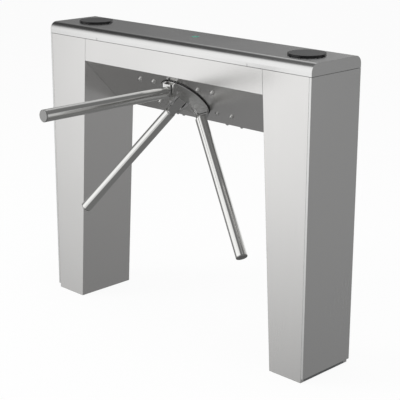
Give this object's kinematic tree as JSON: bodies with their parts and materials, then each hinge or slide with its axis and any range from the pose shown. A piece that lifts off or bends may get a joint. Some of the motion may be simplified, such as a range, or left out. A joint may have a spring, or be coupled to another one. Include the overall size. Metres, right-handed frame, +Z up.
{
  "type": "tripod turnstile",
  "caption": "Waist-high tripod turnstile: steel cabinet on splayed legs with a sloped plate carrying a turning hub with rod arms, a hinged lid and card readers.",
  "frame": {"origin": "on the floor, at the centre of the floor anchor pattern, midway between the legs", "axes": "+X along the cabinet, +Z up, the passage and the arms on the -Y side"},
  "size_m": [1.2, 0.7425, 1.006],
  "materials": {
    "cabinet_sheet": "brushed stainless sheet, fine upright grain",
    "arm_tube": "polished stainless tube",
    "rotor_steel": "turned and brushed stainless",
    "hub_casting": "as cast, satin",
    "frame_steel": "grey primer, matt",
    "fastener_steel": "zinc plated, satin",
    "housing_iron": "machined casting",
    "machined_steel": "ground steel",
    "gear_brass": "cut teeth, satin",
    "black_plastic": "moulded, matt",
    "reader_plastic": "fine texture, satin",
    "solenoid_coat": "black coat, satin",
    "circuit_board": "solder mask, gloss",
    "supply_case": "perforated case, satin",
    "terminal_plastic": "moulded, gloss",
    "indicator_lens": "clear green lens, gloss",
    "white_plastic": "moulded, matt"
  },
  "bodies": {
    "cabinet": {"left_leg_shell": "cabinet_sheet", "right_leg_shell": "cabinet_sheet", "left_end_cover": "cabinet_sheet", "right_end_cover": "cabinet_sheet", "left_base_plate": "frame_steel", "right_base_plate": "frame_steel", "frame_posts": "frame_steel", "frame_rails": "frame_steel", "cover_spacers": "frame_steel", "beam_front_panel": "cabinet_sheet", "beam_back_panel": "cabinet_sheet", "mechanism_plate": "cabinet_sheet", "hub_seal_ring": "black_plastic", "plate_bolts": "fastener_steel", "bottom_screws": "fastener_steel", "chassis_brackets": "frame_steel", "bearing_plate": "frame_steel", "mechanism_screws": "fastener_steel", "bearing_housing": "housing_iron", "shaft_bearings": "machined_steel", "rotary_damper": "black_plastic", "rotation_sensor": "black_plastic", "solenoids": "solenoid_coat", "pawl_pins": "fastener_steel", "fixed_magnets": "machined_steel", "control_board": "circuit_board", "power_supply": "supply_case", "terminal_block": "terminal_plastic", "latch_brackets": "frame_steel", "hinge_fixed_leaves": "fastener_steel", "hinge_pins": "fastener_steel"},
    "rotor": {"rotor_disc": "rotor_steel", "disc_rim_band": "black_plastic", "hub_cheeks": "rotor_steel", "hub_core": "hub_casting", "arm_tube_1": "arm_tube", "arm_tube_2": "arm_tube", "arm_tube_3": "arm_tube", "arm_roots": "rotor_steel", "arm_end_caps": "arm_tube", "cheek_bolts": "fastener_steel", "main_shaft": "machined_steel", "lock_wheel": "machined_steel", "damper_gear": "gear_brass", "rotor_magnets": "machined_steel"},
    "damper_pinion": {"damper_pinion": "gear_brass"},
    "lock_pawl_entry": {"lock_pawl_entry": "machined_steel"},
    "lock_pawl_exit": {"lock_pawl_exit": "machined_steel"},
    "plunger_entry": {"plunger_entry": "fastener_steel"},
    "plunger_exit": {"plunger_exit": "fastener_steel"},
    "lid": {"lid_shell": "cabinet_sheet", "reader_disc_left": "reader_plastic", "reader_disc_right": "reader_plastic", "reader_boards": "circuit_board", "indicator_window": "indicator_lens", "indicator_lamp": "white_plastic", "hinge_moving_leaves": "fastener_steel", "lid_strikers": "frame_steel"},
    "latch_cam_left": {"latch_cam_left": "fastener_steel"},
    "latch_cam_right": {"latch_cam_right": "fastener_steel"}
  },
  "joints": [
    {"name": "rotor_turn", "type": "hinge", "parent": "cabinet", "child": "rotor", "pos_m": [0, -0.03333, 0.80233], "axis": [0, -0.7071, -0.7071], "continuous": true},
    {"name": "damper_pinion_turn", "type": "hinge", "parent": "cabinet", "child": "damper_pinion", "pos_m": [0.0701, 0.04799, 0.88365], "axis": [0, -0.7071, -0.7071], "continuous": true},
    {"name": "lock_pawl_entry_swing", "type": "hinge", "parent": "cabinet", "child": "lock_pawl_entry", "pos_m": [-0.05, -0.05101, 0.89213], "axis": [0, -0.7071, -0.7071], "range_deg": [-14, 0], "stiffness_Nm_per_rad": 1, "springref_deg": 5.73},
    {"name": "lock_pawl_exit_swing", "type": "hinge", "parent": "cabinet", "child": "lock_pawl_exit", "pos_m": [0.04082, 0.06022, 0.7809], "axis": [0, -0.7071, -0.7071], "range_deg": [0, 14], "stiffness_Nm_per_rad": 1, "springref_deg": -5.73},
    {"name": "plunger_entry_slide", "type": "slide", "parent": "cabinet", "child": "plunger_entry", "axis": [1, 0, 0], "range_m": [0, 0.0054]},
    {"name": "plunger_exit_slide", "type": "slide", "parent": "cabinet", "child": "plunger_exit", "axis": [0.5, -0.6124, 0.6124], "range_m": [0, 0.0054]},
    {"name": "lid_open", "type": "hinge", "parent": "cabinet", "child": "lid", "pos_m": [0, 0.1189, 0.961], "axis": [-1, 0, 0], "range_deg": [0, 75]},
    {"name": "latch_left_turn", "type": "hinge", "parent": "cabinet", "child": "latch_cam_left", "pos_m": [-0.348, -0.104, 0.968], "axis": [0, -1, 0], "range_deg": [0, 90]},
    {"name": "latch_right_turn", "type": "hinge", "parent": "cabinet", "child": "latch_cam_right", "pos_m": [0.348, -0.104, 0.968], "axis": [0, 1, 0], "range_deg": [0, 90]}
  ],
  "couplings": [
    {"joint": "damper_pinion_turn", "follows": "rotor_turn", "ratio": -2.5},
    {"joint": "plunger_entry_slide", "follows": "lock_pawl_entry_swing", "m_per_rad": -0.022},
    {"joint": "plunger_exit_slide", "follows": "lock_pawl_exit_swing", "m_per_rad": 0.022}
  ]
}
